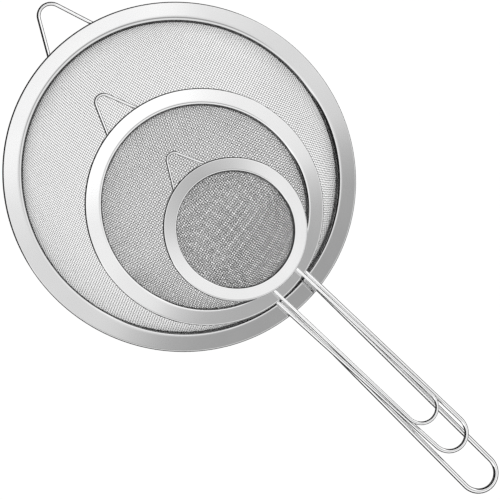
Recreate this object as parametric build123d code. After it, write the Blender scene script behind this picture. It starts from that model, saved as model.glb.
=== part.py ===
from build123d import *
import os
from dataclasses import dataclass
from math import acos, atan2, cos, hypot, radians, sin, tan

# Set of three nested fine-mesh strainers, in millimetres, +Z up.
# The origin is the centre of the large strainer's mouth, level with the top of its rim.
# +X runs out along the large strainer's handle.
#
# Each strainer is five pieces: a pressed rim with a turned-down edge and an inner collar,
# a woven bowl whose edge goes up behind the collar, a ring that clamps that edge to it,
# and a U-shaped wire handle and a bent wire rest ear, both welded under the rim.


@dataclass
class Strainer:
    name: str
    # rim
    rim_diameter: float
    mouth_diameter: float  # where the flat of the rim ends
    face_fall: float  # degrees; positive when the face falls towards its outer edge
    edge_straight: float  # of the turned-down edge, between its bend and its rounded end
    lip_radius: float  # rounding from the face down into the collar
    # bowl
    bowl_depth: float  # from the top of the rim to the outside of the mesh
    shoulder_radius: float
    # handle
    handle_length: float  # from the rim's edge to the end of the handle
    handle_wire: float
    root_spacing: float  # between the two wires' centrelines, at the rim's edge
    grip_spacing: float  # the same, where the end bend starts
    handle_offset: float  # of the handle's centreline from the rim's centre
    # rest ear
    ear_length: float  # from the rim's edge to the tip of the ear
    ear_wire: float
    ear_spacing: float  # between the legs' centrelines, at the rim's edge
    ear_tip_radius: float  # of the centreline
    ear_turn: float  # degrees from the point opposite the handle, clockwise from above
    # place in the set
    side_gap: float  # left to the collar of the strainer around it, where it has slid closest
    slid_towards: float  # degrees from +X
    turn: float  # degrees, of the handle from +X


LARGE = Strainer(
    name="large",
    rim_diameter=200.0,
    mouth_diameter=182.4,
    face_fall=4.0,
    edge_straight=0.4,
    lip_radius=2.6,
    bowl_depth=68.0,
    shoulder_radius=38.0,
    handle_length=148.0,
    handle_wire=3.0,
    root_spacing=19.4,
    grip_spacing=20.9,
    handle_offset=0.0,
    ear_length=24.0,
    ear_wire=2.2,
    ear_spacing=30.0,
    ear_tip_radius=7.2,
    ear_turn=6.0,
    side_gap=0.0,
    slid_towards=0.0,
    turn=0.0,
)
MEDIUM = Strainer(
    name="medium",
    rim_diameter=134.8,
    mouth_diameter=119.0,
    face_fall=4.0,
    edge_straight=0.2,
    lip_radius=1.8,
    bowl_depth=50.0,
    shoulder_radius=24.0,
    handle_length=130.5,
    handle_wire=2.5,
    root_spacing=23.6,
    grip_spacing=20.8,
    handle_offset=0.0,
    ear_length=19.1,
    ear_wire=1.8,
    ear_spacing=21.6,
    ear_tip_radius=4.6,
    ear_turn=3.0,
    side_gap=6.92,
    slid_towards=-10.6,
    turn=2.2,
)
SMALL = Strainer(
    name="small",
    rim_diameter=81.6,
    mouth_diameter=68.0,
    face_fall=-4.0,
    edge_straight=0.1,
    lip_radius=1.0,
    bowl_depth=30.0,
    shoulder_radius=14.0,
    handle_length=112.8,
    handle_wire=2.1,
    root_spacing=17.9,
    grip_spacing=18.8,
    handle_offset=-1.4,
    ear_length=15.6,
    ear_wire=1.5,
    ear_spacing=21.0,
    ear_tip_radius=4.2,
    ear_turn=5.6,
    side_gap=1.7,
    slid_towards=5.66,
    turn=1.9,
)
SET = [LARGE, MEDIUM, SMALL]

# Sizes shared by the three strainers
SHEET = 0.6  # thickness of the rim and of the clamp ring
EDGE_BEND = 0.9  # outside radius where the rim's edge turns down
COLLAR_DEPTH = 3.8  # from the face down to the collar's free edge
CLAMP_BELOW_COLLAR = 1.4
MESH = 0.5  # thickness of the woven cloth, two wires
WELD_SINK = 0.15  # how far a welded wire sinks into the rim's edge
NEST_GAP = 0.3  # between a nested strainer's handle and the rim that it lies over


def collar_radius(s):
    """Inside radius of the collar."""
    return s.mouth_diameter / 2 - s.lip_radius


def mesh_radius(s):
    """Outside radius of the straight top of the mesh bowl, behind the collar."""
    return collar_radius(s) + SHEET + MESH


def face_top(s, radius):
    """Height of the rim's face at a radius, with its highest circle at 0."""
    mouth, edge = s.mouth_diameter / 2, s.rim_diameter / 2
    highest = mouth if s.face_fall >= 0 else edge
    return -(radius - highest) * tan(radians(s.face_fall))


def edge_bottom(s):
    """Height of the free edge of the turned-down rim."""
    return face_top(s, s.rim_diameter / 2) - EDGE_BEND - s.edge_straight - SHEET / 2


def wire_height(s, wire):
    """Height of the centreline of a wire welded under the rim's edge."""
    return edge_bottom(s) + WELD_SINK - wire / 2


def clamp_top(s):
    """Height of the upper edge of the cloth and of the ring, where the lip runs into the collar."""
    return face_top(s, s.mouth_diameter / 2) - s.lip_radius


def clamp_bottom(s):
    return face_top(s, s.mouth_diameter / 2) - COLLAR_DEPTH - CLAMP_BELOW_COLLAR


def turned(section):
    """A ring or bowl from its section in the XZ plane."""
    return revolve(section, Axis.Z)


def rim(s):
    """Pressed ring: turned-down edge, broad face, rounded lip and collar, one sheet thick."""
    outer = s.rim_diameter / 2 - SHEET / 2
    inner = collar_radius(s) + SHEET / 2
    under = SHEET / 2
    sheet_middle = FilletPolyline(
        (outer, 0, edge_bottom(s) + SHEET / 2),
        (outer, 0, face_top(s, outer) - under),
        (inner, 0, face_top(s, inner) - under),
        (inner, 0, face_top(s, s.mouth_diameter / 2) - COLLAR_DEPTH + SHEET / 2),
        radius=[EDGE_BEND - under, s.lip_radius - under],
    )
    outline = offset(sheet_middle, amount=SHEET / 2, side=Side.BOTH)
    return turned(make_face(outline))


def clamp_ring(s):
    """Plain band that holds the edge of the mesh against the collar."""
    inner = mesh_radius(s)
    top = clamp_top(s)
    bottom = clamp_bottom(s)
    band = Polyline(
        (inner, 0, bottom),
        (inner + SHEET, 0, bottom),
        (inner + SHEET, 0, top),
        (inner, 0, top),
        close=True,
    )
    return turned(make_face(band))


def bowl_curve(s, inset):
    """Half-section of the bowl: straight top, shoulder arc and bottom arc, tangent in turn."""
    radius = mesh_radius(s)
    depth = s.bowl_depth + clamp_bottom(s)
    shoulder_x = radius - s.shoulder_radius
    bottom_radius = (shoulder_x**2 + depth**2 - s.shoulder_radius**2) / (2 * (depth - s.shoulder_radius))
    start_z = clamp_bottom(s)
    centre_z = start_z - depth + bottom_radius
    join_angle = atan2(centre_z - start_z, shoulder_x)
    shoulder = s.shoulder_radius - inset
    bottom = bottom_radius - inset

    def on_arc(x, z, r, angle):
        return (x + r * cos(angle), 0, z - r * sin(angle))

    top = (radius - inset, 0, clamp_top(s))
    start = (radius - inset, 0, start_z)
    join = on_arc(shoulder_x, start_z, shoulder, join_angle)
    lowest = (0, 0, centre_z - bottom)
    quarter = radians(90)
    return [
        Line(top, start),
        ThreePointArc(start, on_arc(shoulder_x, start_z, shoulder, join_angle / 2), join),
        ThreePointArc(join, on_arc(0, centre_z, bottom, (join_angle + quarter) / 2), lowest),
    ]


def mesh_bowl(s):
    """Outer form of the woven bowl, as a closed shell one cloth thick."""
    outside = bowl_curve(s, 0)
    inside = bowl_curve(s, MESH)
    lip = Line(outside[0] @ 0, inside[0] @ 0)
    axis = Line(outside[-1] @ 1, inside[-1] @ 1)
    return turned(make_face(outside + inside + [lip, axis]))


def rod(path, wire):
    """Round wire bent along a path."""
    section = Plane(origin=path @ 0, z_dir=path % 0) * Circle(wire / 2)
    return sweep(section, path=path)


def welded(s, wire_piece):
    """Trims a wire, drawn on well past the ring, where it butts on it and sinks into the rim's edge."""
    inside = Cylinder(mesh_radius(s) + SHEET, s.rim_diameter)
    return wire_piece - inside - rim(s)


def legs_and_bend(start_x, start_y, bend_x, bend_radius, inner_x, z):
    """Path of two straight legs and the round bend that both run into.

    The bend's centre is at bend_x on the X axis; the legs pass through (start_x, +-start_y)
    and go on inwards to inner_x.
    """
    span = hypot(start_x - bend_x, start_y)
    tangent_angle = atan2(start_y, start_x - bend_x) - acos(bend_radius / span)
    touch_x = bend_x + bend_radius * cos(tangent_angle)
    touch_y = bend_radius * sin(tangent_angle)
    slope = (start_y - touch_y) / (start_x - touch_x)
    inner_y = start_y + slope * (inner_x - start_x)
    return Wire(
        [
            Line((inner_x, inner_y, z), (touch_x, touch_y, z)),
            ThreePointArc((touch_x, touch_y, z), (bend_x + bend_radius, 0, z), (touch_x, -touch_y, z)),
            Line((touch_x, -touch_y, z), (inner_x, -inner_y, z)),
        ]
    )


def handle(s):
    """U of round wire, open end welded under the rim."""
    bend_radius = s.grip_spacing / 2
    path = legs_and_bend(
        start_x=s.rim_diameter / 2,
        start_y=s.root_spacing / 2,
        bend_x=s.rim_diameter / 2 + s.handle_length - s.handle_wire / 2 - bend_radius,
        bend_radius=bend_radius,
        inner_x=collar_radius(s) / 2,
        z=wire_height(s, s.handle_wire),
    )
    return welded(s, Pos(0, s.handle_offset) * rod(path, s.handle_wire))


def rest_ear(s):
    """Bent wire opposite the handle, for resting the strainer on the rim of a pot."""
    path = legs_and_bend(
        start_x=s.rim_diameter / 2,
        start_y=s.ear_spacing / 2,
        bend_x=s.rim_diameter / 2 + s.ear_length - s.ear_wire / 2 - s.ear_tip_radius,
        bend_radius=s.ear_tip_radius,
        inner_x=collar_radius(s) / 2,
        z=wire_height(s, s.ear_wire),
    )
    return welded(s, Rot(0, 0, 180 - s.ear_turn) * rod(path, s.ear_wire))


def nested(s, around, place):
    """Place of a strainer inside another: slid to one side, its handle just over that one's rim."""
    slide = collar_radius(around) - mesh_radius(s) - SHEET - s.side_gap
    wire_bottom = wire_height(s, s.handle_wire) - s.handle_wire / 2
    towards = radians(s.slid_towards)
    return Pos(slide * cos(towards), slide * sin(towards), NEST_GAP - wire_bottom) * place


PIECES = {
    "rim": rim,
    "mesh_clamp_ring": clamp_ring,
    "mesh_bowl": mesh_bowl,
    "handle": handle,
    "rest_ear": rest_ear,
}

os.makedirs("parts", exist_ok=True)
place = Pos(0, 0, 0)
for index, strainer in enumerate(SET):
    if index > 0:
        place = nested(strainer, SET[index - 1], place)
    for piece, make in PIECES.items():
        solid = place * Rot(0, 0, strainer.turn) * make(strainer)
        export_step(solid, f"parts/{strainer.name}_{piece}.step")
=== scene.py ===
from dataclasses import dataclass
from math import acos, atan2, ceil, cos, hypot, pi, radians, sin, tan

import bpy
import numpy as np
from mathutils import Matrix, Vector


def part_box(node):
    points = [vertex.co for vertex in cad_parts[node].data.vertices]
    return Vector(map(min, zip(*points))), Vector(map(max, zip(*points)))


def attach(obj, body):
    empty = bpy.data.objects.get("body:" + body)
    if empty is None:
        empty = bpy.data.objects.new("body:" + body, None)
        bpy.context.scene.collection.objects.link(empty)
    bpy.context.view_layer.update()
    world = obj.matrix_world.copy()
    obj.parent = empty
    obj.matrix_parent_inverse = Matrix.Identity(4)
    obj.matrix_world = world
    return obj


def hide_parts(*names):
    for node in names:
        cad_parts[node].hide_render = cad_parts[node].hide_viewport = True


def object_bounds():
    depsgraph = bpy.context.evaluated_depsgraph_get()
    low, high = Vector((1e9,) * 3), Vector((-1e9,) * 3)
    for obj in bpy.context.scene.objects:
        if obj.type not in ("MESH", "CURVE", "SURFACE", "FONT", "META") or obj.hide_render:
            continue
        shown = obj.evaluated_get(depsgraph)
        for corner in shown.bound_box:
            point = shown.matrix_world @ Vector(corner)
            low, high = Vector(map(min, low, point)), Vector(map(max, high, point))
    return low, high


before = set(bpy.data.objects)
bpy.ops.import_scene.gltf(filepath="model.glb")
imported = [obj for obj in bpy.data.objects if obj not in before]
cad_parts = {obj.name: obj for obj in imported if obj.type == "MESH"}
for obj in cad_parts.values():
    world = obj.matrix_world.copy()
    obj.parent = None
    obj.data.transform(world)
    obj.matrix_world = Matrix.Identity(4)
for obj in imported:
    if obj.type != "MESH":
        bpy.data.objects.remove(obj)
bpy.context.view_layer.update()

# Three nested strainers in metres, in the CAD model's frame. Every CAD piece is replaced by one
# of the same size and place: rims and rings turned finely enough to mirror the light smoothly,
# round wires sunk a little into the rim's edge where they are welded, and cloth woven wire by wire on the
# bowl's shape.

MM = 0.001
SHEET = 0.6 * MM  # thickness of the rim and the clamp ring
EDGE_BEND = 0.9 * MM  # outside radius where the rim's edge turns down
COLLAR_DEPTH = 3.8 * MM  # from the face down to the collar's free edge
WELD_SINK = 0.15 * MM  # how far a welded wire sinks into the rim's edge
MESH = 0.5 * MM  # thickness of the woven cloth
MESH_WIRE = 0.26 * MM
MESH_PITCH = 1.39 * MM
MESH_RISE = 0.12 * MM  # of a woven wire over and under the ones that it crosses
MESH_SIDES = 4  # of each woven wire's tube
SHORTEST_WIRE = 3  # crossings; a shorter woven wire is left out
SOLVER_STEPS = 8  # towards each crossing of the woven net
WIRE_SIDES = 32
LEG_STEPS = 24  # along each straight leg of a handle or an ear
LOOP_STEPS = 64  # round the bend between its legs
TURN_STEPS = 720  # round a rim or a ring
BEND_STEPS = 12  # in each rounded corner of a rim's section
BEND_MARGIN = 0.3  # of a bend's radius, to the extra points that keep the flat beside it flat
SHEET_END_STEPS = 8  # round the free edge of a sheet
RING_EDGE = 0.15 * MM  # rounding of the clamp ring's edges
RING_EDGE_STEPS = 4


@dataclass
class Strainer:
    name: str
    # rim
    face_fall: float  # degrees; positive when the face falls towards its outer edge
    lip_radius: float  # rounding from the face down into the collar
    # handle and ear, with spacings between the wires' centrelines
    root_spacing: float  # at the rim's edge
    grip_spacing: float  # where the end bend starts
    handle_offset: float  # of the handle's centreline from the rim's centre
    handle_turn: float  # degrees from +X
    ear_length: float  # from the rim's edge to the tip
    ear_spacing: float  # at the rim's edge
    ear_tip_radius: float  # of the centreline
    ear_turn: float  # degrees clockwise from the point opposite the handle
    # bowl
    shoulder_radius: float  # of the bowl's outside
    weave_turn: float  # degrees from +X to the first set of woven wires
    # steel
    rim_tone: float
    # the cloth's own steel tone; set lower on the medium and lower still on the small as painted shade,
    # where the stacked cloths darken one another
    mesh_tone_and_stack_shade: float


SET = [
    Strainer(
        name="large",
        face_fall=4.0,
        lip_radius=2.6 * MM,
        root_spacing=19.4 * MM,
        grip_spacing=20.9 * MM,
        handle_offset=0.0,
        handle_turn=0.0,
        ear_length=24.0 * MM,
        ear_spacing=30.0 * MM,
        ear_tip_radius=7.2 * MM,
        ear_turn=6.0,
        shoulder_radius=38 * MM,
        weave_turn=20,
        rim_tone=0.70,
        mesh_tone_and_stack_shade=0.66,
    ),
    Strainer(
        name="medium",
        face_fall=4.0,
        lip_radius=1.8 * MM,
        root_spacing=23.6 * MM,
        grip_spacing=20.8 * MM,
        handle_offset=0.0,
        handle_turn=2.2,
        ear_length=19.1 * MM,
        ear_spacing=21.6 * MM,
        ear_tip_radius=4.6 * MM,
        ear_turn=3.0,
        shoulder_radius=24 * MM,
        weave_turn=80,
        rim_tone=0.84,
        mesh_tone_and_stack_shade=0.62,
    ),
    Strainer(
        name="small",
        face_fall=-4.0,
        lip_radius=1.0 * MM,
        root_spacing=17.9 * MM,
        grip_spacing=18.8 * MM,
        handle_offset=-1.4 * MM,
        handle_turn=1.9,
        ear_length=15.6 * MM,
        ear_spacing=21.0 * MM,
        ear_tip_radius=4.2 * MM,
        ear_turn=5.6,
        shoulder_radius=14 * MM,
        weave_turn=10,
        rim_tone=0.84,
        mesh_tone_and_stack_shade=0.54,
    ),
]

# Steels: roughness, and the scale (per metre) and depth of the fine grain
RIM_STEEL = (0.10, 2600.0, 0.004 * MM)
WIRE_STEEL = (0.10, 900.0, 0.006 * MM)
MESH_STEEL = (0.16, 400.0, 0.01 * MM)
WIRE_TONE = 0.97
CLOUD_SCALE = 28.0  # per metre, of the slow changes in tone and gloss
CLOUD_DETAIL = 3.0
CLOUD_EDGES = (0.3, 0.7)  # where the darkest and the lightest tone start
DARKER, LIGHTER = 0.96, 1.02  # tone there, against the steel's own
COOLER = 1.004  # blue of the darkest tone
SMOOTHER, ROUGHER = 0.85, 1.2  # roughness at either end, against the steel's own
GRAIN_DETAIL = 2.0
GRAIN_STRENGTH = 0.25

# Studio light: brightness against the X part of its direction, and against the Z part
X_REACH = 0.6
OVERHEAD_BY_X = (
    (-0.36, 0.02),
    (-0.32, 0.06),
    (-0.27, 1.38),
    (-0.20, 1.35),
    (-0.15, 1.06),
    (-0.10, 1.00),
    (-0.02, 0.99),
    (0.03, 0.97),
    (0.07, 0.66),
    (0.11, 0.49),
    (0.30, 0.44),
)
LOWER_BY_X = ((-0.36, 0.02), (-0.32, 0.06), (-0.27, 1.38), (-0.10, 1.15), (0.50, 1.05))
LEVEL_BY_Z = ((0.0, 0.02), (0.13, 0.02), (0.35, 1.0))
OVERHEAD_BY_Z = ((0.80, 0.0), (0.91, 1.0))  # 1 where the overhead levels hold, 0 where the lower do
BACKGROUND = 0.93  # of the world itself, past the floor

FLOOR_GLOW = 1.0  # brightness of the floor itself
FLOOR_MIRRORED = 0.02  # the same, in the steel's reflections: a dark card under the set
FLOOR_SHADE = 0.04  # of its own colour, which adds next to nothing to the glow
FLOOR_REACH = 3.0  # from the origin, in metres

CAMERA_TILT = 13  # degrees off straight down
CAMERA_DISTANCE = 1.25
VIEW_ACROSS = 280.2 * MM  # width of the view at the rims
AIM_RIGHT = 38.3  # millimetres from the large strainer's centre, in the picture
AIM_DOWN = 42.5


def node(s, piece):
    return f"{s.name}_{piece}"


def body(s):
    return f"{s.name}_strainer"


def axis_of(s):
    """Centre line of a strainer, from its rim's box."""
    low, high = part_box(node(s, "rim"))
    return (low.x + high.x) / 2, (low.y + high.y) / 2


def mesh_object(name, points, faces, material):
    """Smooth-shaded object from a point array and an array of four-cornered faces."""
    mesh = bpy.data.meshes.new(name)
    mesh.vertices.add(len(points))
    mesh.vertices.foreach_set("co", np.ascontiguousarray(points, np.float32).ravel())
    mesh.loops.add(faces.size)
    mesh.loops.foreach_set("vertex_index", faces.astype(np.int32).ravel())
    mesh.polygons.add(len(faces))
    mesh.polygons.foreach_set("loop_start", np.arange(0, faces.size, 4, dtype=np.int32))
    mesh.polygons.foreach_set("loop_total", np.full(len(faces), 4, np.int32))
    mesh.update(calc_edges=True)
    mesh.polygons.foreach_set("use_smooth", np.ones(len(faces), bool))
    mesh.materials.append(material)
    piece = bpy.data.objects.new(name, mesh)
    bpy.context.scene.collection.objects.link(piece)
    return piece


def stand_for(s, piece, part):
    """The piece takes the place of one of the strainer's CAD nodes."""
    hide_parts(node(s, part))
    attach(piece, body(s))


# ---------------------------------------------------------------- rims and rings


def rounded(corners, radii):
    """Points along a line of straight runs whose inner corners are rounded off."""
    corners = [Vector(corner) for corner in corners]
    points = [corners[0]]
    for before, corner, after, radius in zip(corners, corners[1:], corners[2:], radii):
        back = (before - corner).normalized()
        on = (after - corner).normalized()
        half_angle = back.angle(on) / 2
        reach = radius / tan(half_angle)
        centre = corner + (back + on).normalized() * (radius / sin(half_angle))
        start = corner + back * reach - centre
        end = corner + on * reach - centre
        sweep = pi - 2 * half_angle
        points.append(corner + back * (reach + BEND_MARGIN * radius))
        for step in range(BEND_STEPS + 1):
            share = step / BEND_STEPS
            arm = (start * sin((1 - share) * sweep) + end * sin(share * sweep)) / sin(sweep)
            points.append(centre + arm)
        points.append(corner + on * (reach + BEND_MARGIN * radius))
    points.append(corners[-1])
    return np.array(points)


def sheet_outline(middle, thickness):
    """Closed outline of a bent sheet, with rounded ends, from the middle line of its section."""
    along = np.gradient(middle, axis=0)
    along /= np.linalg.norm(along, axis=1)[:, None]
    out = np.stack([-along[:, 1], along[:, 0]], axis=1)
    half = thickness / 2

    def end(point, from_angle):
        angles = from_angle - pi * np.arange(1, SHEET_END_STEPS) / SHEET_END_STEPS
        return point + half * np.stack([np.cos(angles), np.sin(angles)], axis=1)

    last_angle = atan2(out[-1, 1], out[-1, 0])
    first_angle = atan2(-out[0, 1], -out[0, 0])
    return np.concatenate(
        [
            middle + half * out,
            end(middle[-1], last_angle),
            (middle - half * out)[::-1],
            end(middle[0], first_angle),
        ]
    )


def lathe(name, outline, centre, material):
    """Ring turned about an upright axis from a closed outline of radius and height."""
    angles = 2 * pi * np.arange(TURN_STEPS) / TURN_STEPS
    x = centre[0] + np.outer(np.cos(angles), outline[:, 0])
    y = centre[1] + np.outer(np.sin(angles), outline[:, 0])
    z = np.broadcast_to(outline[:, 1], x.shape)
    points = np.stack([x, y, z], axis=2).reshape(-1, 3)
    count = len(outline)
    turn = np.arange(TURN_STEPS)[:, None]
    k = np.arange(count)[None, :]
    next_turn = (turn + 1) % TURN_STEPS
    next_k = (k + 1) % count
    faces = np.stack(
        [turn * count + k, turn * count + next_k, next_turn * count + next_k, next_turn * count + k], axis=2
    )
    return mesh_object(name, points, faces.reshape(-1, 4), material)


def rim_and_ring(s, material):
    """Pressed rim with its turned-down edge and collar, and the band that clamps the cloth to it."""
    centre = axis_of(s)
    low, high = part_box(node(s, "rim"))
    ring_low, ring_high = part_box(node(s, "mesh_clamp_ring"))
    ring_outside = (ring_high.x - ring_low.x) / 2
    collar = ring_outside - 2 * SHEET - MESH
    mouth = collar + s.lip_radius
    mouth_z = low.z + COLLAR_DEPTH
    half = SHEET / 2
    edge = (high.x - low.x) / 2 - half

    def under_face(radius):
        return mouth_z - (radius - mouth) * tan(radians(s.face_fall)) - half

    corners = (
        (edge, wire_top(s) - WELD_SINK + half),
        (edge, under_face(edge)),
        (collar + half, under_face(collar + half)),
        (collar + half, low.z + half),
    )
    middle = rounded(corners, (EDGE_BEND - half, s.lip_radius - half))
    rim = lathe(node(s, "polished_rim"), sheet_outline(middle, SHEET), centre, material)
    stand_for(s, rim, "rim")

    outer = ring_outside - RING_EDGE
    inner = ring_outside - SHEET + RING_EDGE
    top = ring_high.z - RING_EDGE
    bottom = ring_low.z + RING_EDGE
    band = []
    for quarter, (radius, z) in enumerate(((outer, top), (inner, top), (inner, bottom), (outer, bottom))):
        for step in range(RING_EDGE_STEPS + 1):
            turn = (quarter + step / RING_EDGE_STEPS) * pi / 2
            band.append((radius + RING_EDGE * cos(turn), z + RING_EDGE * sin(turn)))
    ring = lathe(node(s, "crimped_ring"), np.array(band), centre, material)
    stand_for(s, ring, "mesh_clamp_ring")


# ---------------------------------------------------------------- handles and ears


def wire_top(s):
    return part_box(node(s, "handle"))[1].z


def legs_and_bend(start_x, start_y, bend_x, bend_radius, inner_radius):
    """Points of two straight legs and the round bend that both run into, on the X axis.

    The legs pass through (start_x, +-start_y) and go on inwards to inner_radius.
    """
    span = hypot(start_x - bend_x, start_y)
    tangent = atan2(start_y, start_x - bend_x) - acos(bend_radius / span)
    touch = np.array([bend_x + bend_radius * cos(tangent), bend_radius * sin(tangent)])
    start = np.array([start_x, start_y])
    leg = (start - touch) / np.linalg.norm(start - touch)
    nearest = -start @ leg
    half_chord = np.sqrt(nearest**2 - start @ start + inner_radius**2)
    inner = start + leg * min(nearest + half_chord, nearest - half_chord, key=abs)
    straight = [inner + (touch - inner) * share for share in np.linspace(0, 1, LEG_STEPS, endpoint=False)]
    angles = np.linspace(tangent, -tangent, LOOP_STEPS)
    arc = [(bend_x + bend_radius * cos(a), bend_radius * sin(a)) for a in angles]
    mirrored = [(x, -y) for x, y in straight[::-1]]
    return np.array(straight + arc + mirrored)


def bent_wire(s, piece_name, part, flat_path, offset, turn, material):
    """Round wire along a level path, turned and put in its place under the rim."""
    low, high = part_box(node(s, part))
    wire = high.z - low.z
    centre = axis_of(s)
    turn = radians(turn)
    x, y = flat_path[:, 0], flat_path[:, 1] + offset
    points = np.stack(
        [
            centre[0] + x * cos(turn) - y * sin(turn),
            centre[1] + x * sin(turn) + y * cos(turn),
            np.full(len(x), (low.z + high.z) / 2),
        ],
        axis=1,
    )
    upright = np.tile([0.0, 0.0, 1.0], (len(points), 1))
    tube, faces = tube_along(points, upright, wire / 2, WIRE_SIDES)
    stand_for(s, mesh_object(node(s, piece_name), tube, faces, material), part)


def handle_and_ear(s, material):
    rim_low, rim_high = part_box(node(s, "rim"))
    edge = (rim_high.x - rim_low.x) / 2
    ring_low, ring_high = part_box(node(s, "mesh_clamp_ring"))
    ring = (ring_high.x - ring_low.x) / 2
    centre_x = axis_of(s)[0]
    low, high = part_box(node(s, "handle"))
    wire = high.z - low.z
    bend = s.grip_spacing / 2
    turn = radians(s.handle_turn)
    # the end bend's own furthest point in X, taken back along the turned handle to the bend's centre
    bend_x = (high.x - centre_x - bend - wire / 2 + s.handle_offset * sin(turn)) / cos(turn)
    path = legs_and_bend(edge, s.root_spacing / 2, bend_x, bend, ring)
    bent_wire(s, "wire_handle", "handle", path, s.handle_offset, s.handle_turn, material)

    low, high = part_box(node(s, "rest_ear"))
    wire = high.z - low.z
    bend_x = edge + s.ear_length - wire / 2 - s.ear_tip_radius
    path = legs_and_bend(edge, s.ear_spacing / 2, bend_x, s.ear_tip_radius, ring)
    ear_turn = 180 - s.ear_turn + s.handle_turn
    bent_wire(s, "wire_rest_ear", "rest_ear", path, 0, ear_turn, material)


# ---------------------------------------------------------------- woven cloth


class BowlShape:
    """Middle surface of the cloth: a bottom arc, a shoulder arc and a straight top, turned about Z."""

    def __init__(self, s):
        low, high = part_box(node(s, "mesh_bowl"))
        outside = (high.x - low.x) / 2
        self.start_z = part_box(node(s, "mesh_clamp_ring"))[0].z
        self.top_z = high.z
        depth = self.start_z - low.z
        a = s.shoulder_radius
        self.shoulder_x = outside - a
        bottom_radius = (self.shoulder_x**2 + depth**2 - a**2) / (2 * (depth - a))
        self.centre_z = low.z + bottom_radius
        self.shoulder = a - MESH / 2
        self.bottom = bottom_radius - MESH / 2

    def distance_and_normal(self, p):
        """Signed distance of points from the surface, and the outward normals there."""
        r = np.maximum(np.hypot(p[:, 0], p[:, 1]), 1e-12)
        z = p[:, 2]
        rise = self.centre_z - self.start_z
        on_bottom = r * rise < self.shoulder_x * (self.centre_z - z)
        centre_r = np.where(on_bottom, 0, self.shoulder_x)
        centre_z = np.where(on_bottom, self.centre_z, np.maximum(z, self.start_z))
        radius = np.where(on_bottom, self.bottom, self.shoulder)
        away_r = r - centre_r
        away_z = z - centre_z
        away = np.hypot(away_r, away_z)
        outward = away_r / away / r
        normal = np.stack([outward * p[:, 0], outward * p[:, 1], away_z / away], axis=1)
        return away - radius, normal

    def meridian(self, spacing):
        """Points a spacing apart up one side of the bowl, from its lowest point to its top."""
        join = atan2(self.shoulder_x, self.centre_z - self.start_z)
        bottom_run = self.bottom * join
        shoulder_run = self.shoulder * (pi / 2 - join)
        total = bottom_run + shoulder_run + self.top_z - self.start_z
        points = []
        for index in range(ceil(total / spacing) + 2):
            run = index * spacing
            if run < bottom_run:
                angle = run / self.bottom
                points.append((self.bottom * sin(angle), self.centre_z - self.bottom * cos(angle)))
            elif run < bottom_run + shoulder_run:
                angle = join + (run - bottom_run) / self.shoulder
                radius = self.shoulder_x + self.shoulder * sin(angle)
                points.append((radius, self.start_z - self.shoulder * cos(angle)))
            else:
                height = self.start_z + run - bottom_run - shoulder_run
                points.append((self.shoulder_x + self.shoulder, height))
        return np.array(points)


def fourth_corners(shape, a, b, c, side):
    """Points on the surface one side length from both a and b, on the far side from c."""
    x = a + b - c
    for _ in range(SOLVER_STEPS):
        off, normal = shape.distance_and_normal(x)
        to_a = x - a
        to_b = x - b
        wrong = np.stack([(to_a**2).sum(1) - side**2, (to_b**2).sum(1) - side**2, off], axis=1)
        slopes = np.stack([2 * to_a, 2 * to_b, normal], axis=1)
        x = x - np.linalg.solve(slopes, wrong[:, :, None])[:, :, 0]
    return x


def net_quarter(shape, side):
    """Crossings of a net of equal threads laid on a quarter of the bowl, NaN past its top."""
    line = shape.meridian(side)
    count = len(line)
    net = np.full((count, count, 3), np.nan)
    net[:, 0] = np.stack([line[:, 0], 0 * line[:, 0], line[:, 1]], axis=1)
    net[0, :] = np.stack([0 * line[:, 0], line[:, 0], line[:, 1]], axis=1)
    for diagonal in range(2, 2 * count - 1):
        i = np.arange(max(1, diagonal - count + 1), min(diagonal, count))
        j = diagonal - i
        a, b, c = net[i, j - 1], net[i - 1, j], net[i - 1, j - 1]
        known = np.isfinite(a + b + c).all(axis=1) & (c[:, 2] < shape.top_z + side)
        if not known.any():
            break
        i, j = i[known], j[known]
        net[i, j] = fourth_corners(shape, a[known], b[known], c[known], side)
    return net


def whole_net(shape, side):
    """The quarter mirrored into a whole net, with crossings past the cloth's edge as NaN."""
    quarter = net_quarter(shape, side)
    half = np.concatenate([quarter[:0:-1] * (-1, 1, 1), quarter])
    net = np.concatenate([half[:, :0:-1] * (1, -1, 1), half], axis=1)
    net[~(net[:, :, 2] <= shape.top_z)] = np.nan
    return net


def longest_run(present):
    """First and last index, plus one, of the longest unbroken run."""
    edges = np.flatnonzero(np.diff(np.concatenate([[0], present.astype(int), [0]])))
    starts, ends = edges[::2], edges[1::2]
    best = int(np.argmax(ends - starts))
    return starts[best], ends[best]


def tube_along(points, normals, radius, sides):
    """Points and faces of a capped tube along one woven wire."""
    ahead = np.gradient(points, axis=0)
    ahead /= np.linalg.norm(ahead, axis=1)[:, None]
    across = np.cross(ahead, normals)
    across /= np.linalg.norm(across, axis=1)[:, None]
    up = np.cross(across, ahead)
    angles = 2 * pi * np.arange(sides) / sides
    ring = across[:, None] * np.cos(angles)[None, :, None] + up[:, None] * np.sin(angles)[None, :, None]
    tube = (points[:, None] + radius * ring).reshape(-1, 3)
    start = np.arange(len(points) - 1)[:, None] * sides
    side = np.arange(sides)[None, :]
    next_side = (side + 1) % sides
    quads = np.stack(
        [start + side, start + next_side, start + sides + next_side, start + sides + side], axis=2
    )
    last = (len(points) - 1) * sides
    caps = []
    for k in range(sides // 2 - 1):
        # a row of quads from one side of the end ring to the other
        row = [k, k + 1, sides - 2 - k, sides - 1 - k]
        caps.append(row[::-1])
        caps.append([last + corner for corner in row])
    return tube, np.concatenate([quads.reshape(-1, 4), np.array(caps)])


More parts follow.
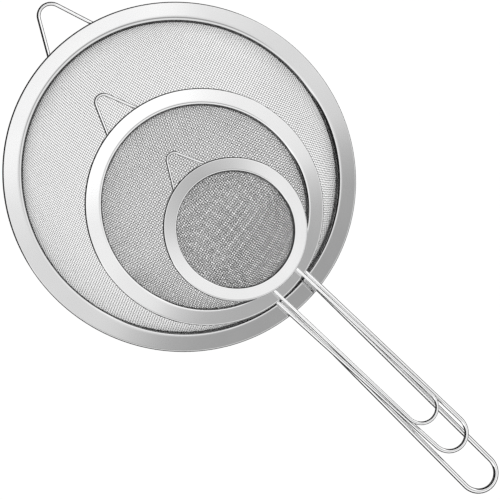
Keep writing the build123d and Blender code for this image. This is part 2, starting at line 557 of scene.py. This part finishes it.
def woven_wires(net, normals, rise_sign, place):
    """All the wires that run along the net's first direction, over and under the others."""
    parts = []
    faces = []
    offset = 0
    for j in range(net.shape[1]):
        present = np.isfinite(net[:, j, 0])
        if not present.any():
            continue
        first, last = longest_run(present)
        if last - first < SHORTEST_WIRE:
            continue
        i = np.arange(first, last)
        over = rise_sign * np.where((i + j) % 2 == 0, 1.0, -1.0)
        wire = net[i, j] + normals[i, j] * (MESH_RISE * over)[:, None]
        tube, quads = tube_along(wire, normals[i, j], MESH_WIRE / 2, MESH_SIDES)
        parts.append(tube)
        faces.append(quads + offset)
        offset += len(tube)
    return place(np.concatenate(parts)), np.concatenate(faces)


def weave_cloth(s, material):
    """Replaces a strainer's mesh shell by two sets of wires that pass over and under each other."""
    shape = BowlShape(s)
    net = whole_net(shape, MESH_PITCH)
    flat = net.reshape(-1, 3)
    normals = np.zeros_like(flat)
    known = np.isfinite(flat[:, 0])
    normals[known] = shape.distance_and_normal(flat[known])[1]
    normals = normals.reshape(net.shape)
    x, y = axis_of(s)
    turn = radians(s.weave_turn)
    spin = np.array([[cos(turn), -sin(turn), 0], [sin(turn), cos(turn), 0], [0, 0, 1]])

    def place(points):
        return points @ spin.T + (x, y, 0)

    warp = woven_wires(net, normals, 1, place)
    weft = woven_wires(net.transpose(1, 0, 2), normals.transpose(1, 0, 2), -1, place)
    for set_name, (points, faces) in {"warp": warp, "weft": weft}.items():
        piece = mesh_object(node(s, f"mesh_{set_name}"), points, faces, material)
        stand_for(s, piece, "mesh_bowl")


# ---------------------------------------------------------------- materials


def steel(name, tone, finish, centre=None):
    """Stainless steel with slight changes of tone and gloss, and a fine grain.

    With a centre the grain runs round it, as on a spun or polished ring.
    """
    roughness, grain_scale, grain_depth = finish
    material = bpy.data.materials.new(name)
    material.use_nodes = True
    nodes, links = material.node_tree.nodes, material.node_tree.links
    shader = nodes["Principled BSDF"]
    shader.inputs["Metallic"].default_value = 1.0
    place = nodes.new("ShaderNodeTexCoord").outputs["Object"]

    cloud = nodes.new("ShaderNodeTexNoise")
    cloud.inputs["Scale"].default_value = CLOUD_SCALE
    cloud.inputs["Detail"].default_value = CLOUD_DETAIL
    links.new(place, cloud.inputs["Vector"])
    colour = nodes.new("ShaderNodeValToRGB")
    darker = DARKER * tone
    lighter = min(1.0, LIGHTER * tone)
    first, last = colour.color_ramp.elements
    first.position, last.position = CLOUD_EDGES
    first.color = (darker, darker, darker * COOLER, 1)
    last.color = (lighter, lighter, lighter, 1)
    links.new(cloud.outputs["Fac"], colour.inputs["Fac"])
    links.new(colour.outputs["Color"], shader.inputs["Base Color"])

    gloss = nodes.new("ShaderNodeMapRange")
    gloss.inputs["To Min"].default_value = roughness * SMOOTHER
    gloss.inputs["To Max"].default_value = roughness * ROUGHER
    links.new(cloud.outputs["Fac"], gloss.inputs["Value"])
    links.new(gloss.outputs["Result"], shader.inputs["Roughness"])

    grain = nodes.new("ShaderNodeTexNoise")
    grain.inputs["Scale"].default_value = grain_scale
    grain.inputs["Detail"].default_value = GRAIN_DETAIL
    if centre is None:
        links.new(place, grain.inputs["Vector"])
    else:
        away = nodes.new("ShaderNodeVectorMath")
        away.operation = "SUBTRACT"
        away.inputs[1].default_value = (centre[0], centre[1], 0)
        links.new(place, away.inputs[0])
        level = nodes.new("ShaderNodeVectorMath")
        level.operation = "MULTIPLY"
        level.inputs[1].default_value = (1, 1, 0)
        links.new(away.outputs["Vector"], level.inputs[0])
        radius = nodes.new("ShaderNodeVectorMath")
        radius.operation = "LENGTH"
        links.new(level.outputs["Vector"], radius.inputs[0])
        ring = nodes.new("ShaderNodeCombineXYZ")
        links.new(radius.outputs["Value"], ring.inputs["X"])
        links.new(ring.outputs["Vector"], grain.inputs["Vector"])
    bump = nodes.new("ShaderNodeBump")
    bump.inputs["Strength"].default_value = GRAIN_STRENGTH
    bump.inputs["Distance"].default_value = grain_depth
    links.new(grain.outputs["Fac"], bump.inputs["Height"])
    links.new(bump.outputs["Normal"], shader.inputs["Normal"])
    return material


def dress(s):
    """Puts each of a strainer's pieces in its place, in its own steel."""
    centre = axis_of(s)
    rim_and_ring(s, steel(f"{s.name}_rim_steel", s.rim_tone, RIM_STEEL, centre))
    handle_and_ear(s, steel(f"{s.name}_wire_steel", WIRE_TONE, WIRE_STEEL))
    # the cloth's tone holds painted shade from the stack on the medium and small strainers
    weave_cloth(s, steel(f"{s.name}_mesh_steel", s.mesh_tone_and_stack_shade, MESH_STEEL))


# ---------------------------------------------------------------- surroundings


def studio_world():
    """Soft studio light: brightest high on the ears' side, dimmer high over the handles.

    It is dark further down on the ears' side and close to the horizon, and plain to the camera.
    """
    world = bpy.data.worlds.new("studio")
    bpy.context.scene.world = world
    world.use_nodes = True
    nodes, links = world.node_tree.nodes, world.node_tree.links
    background = nodes["Background"]
    direction = nodes.new("ShaderNodeTexCoord").outputs["Generated"]
    parts = nodes.new("ShaderNodeSeparateXYZ")
    links.new(direction, parts.inputs["Vector"])

    def levels(part, low, high, stops):
        """Brightness from one part of the direction, between low and high, by a smooth ramp."""
        share = nodes.new("ShaderNodeMapRange")
        share.inputs["From Min"].default_value = low
        share.inputs["From Max"].default_value = high
        links.new(parts.outputs[part], share.inputs["Value"])
        ramp = nodes.new("ShaderNodeValToRGB")
        ramp.color_ramp.interpolation = "EASE"
        while len(ramp.color_ramp.elements) < len(stops):
            ramp.color_ramp.elements.new(0.5)
        for element, (place, level) in zip(ramp.color_ramp.elements, stops):
            element.position = (place - low) / (high - low)
            element.color = (level, level, level, 1)
        links.new(share.outputs["Result"], ramp.inputs["Fac"])
        return ramp.outputs["Color"]

    overhead = levels("X", -X_REACH, X_REACH, OVERHEAD_BY_X)
    lower_down = levels("X", -X_REACH, X_REACH, LOWER_BY_X)
    height = levels("Z", 0.0, 1.0, LEVEL_BY_Z)
    from_above = levels("Z", 0.0, 1.0, OVERHEAD_BY_Z)

    across = nodes.new("ShaderNodeMixRGB")
    links.new(from_above, across.inputs["Fac"])
    links.new(lower_down, across.inputs["Color1"])
    links.new(overhead, across.inputs["Color2"])

    light = nodes.new("ShaderNodeMixRGB")
    light.blend_type = "MULTIPLY"
    light.inputs["Fac"].default_value = 1.0
    links.new(across.outputs["Color"], light.inputs["Color1"])
    links.new(height, light.inputs["Color2"])

    seen = nodes.new("ShaderNodeMixRGB")
    seen.inputs["Color2"].default_value = (BACKGROUND, BACKGROUND, BACKGROUND, 1)
    links.new(nodes.new("ShaderNodeLightPath").outputs["Is Camera Ray"], seen.inputs["Fac"])
    links.new(light.outputs["Color"], seen.inputs["Color1"])
    links.new(seen.outputs["Color"], background.inputs["Color"])


def pale_floor():
    """Plain white floor under the bowls, lit evenly from itself, for a background without shadows."""
    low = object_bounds()[0].z
    corners = [(x * FLOOR_REACH, y * FLOOR_REACH, low) for x, y in ((-1, -1), (1, -1), (1, 1), (-1, 1))]
    mesh = bpy.data.meshes.new("floor")
    mesh.from_pydata(corners, [], [(0, 1, 2, 3)])
    floor = bpy.data.objects.new("floor", mesh)
    bpy.context.scene.collection.objects.link(floor)
    material = bpy.data.materials.new("floor_white")
    material.use_nodes = True
    nodes, links = material.node_tree.nodes, material.node_tree.links
    shader = nodes["Principled BSDF"]
    shader.inputs["Base Color"].default_value = (FLOOR_SHADE, FLOOR_SHADE, FLOOR_SHADE, 1)
    shader.inputs["Roughness"].default_value = 0.9
    shader.inputs["Specular IOR Level"].default_value = 0.0
    shader.inputs["Emission Color"].default_value = (1, 1, 1, 1)
    glow = nodes.new("ShaderNodeMapRange")
    glow.inputs["To Min"].default_value = FLOOR_MIRRORED
    glow.inputs["To Max"].default_value = FLOOR_GLOW
    links.new(nodes.new("ShaderNodeLightPath").outputs["Is Camera Ray"], glow.inputs["Value"])
    links.new(glow.outputs["Result"], shader.inputs["Emission Strength"])
    mesh.materials.append(material)


def camera():
    """Looks down into the bowls, the handles towards the lower right of the picture."""
    tilt = radians(CAMERA_TILT)
    ahead = Vector((0, sin(tilt), -cos(tilt)))
    along = Vector((1, 0, 0))
    across = Vector((0, cos(tilt), sin(tilt)))
    right = (along + across).normalized()
    up = (across - along).normalized()
    aim = right * AIM_RIGHT * MM - up * AIM_DOWN * MM
    lens = bpy.data.cameras.new("camera")
    lens.sensor_width = 36.0
    lens.lens = lens.sensor_width * CAMERA_DISTANCE / VIEW_ACROSS
    lens.clip_end = 20.0
    eye = bpy.data.objects.new("camera", lens)
    facing = Matrix((right, up, -ahead)).transposed().to_4x4()
    eye.matrix_world = Matrix.Translation(aim - ahead * CAMERA_DISTANCE) @ facing
    bpy.context.scene.collection.objects.link(eye)
    bpy.context.scene.camera = eye


for strainer in SET:
    dress(strainer)
studio_world()
pale_floor()
camera()
bpy.context.scene.view_settings.view_transform = "Standard"
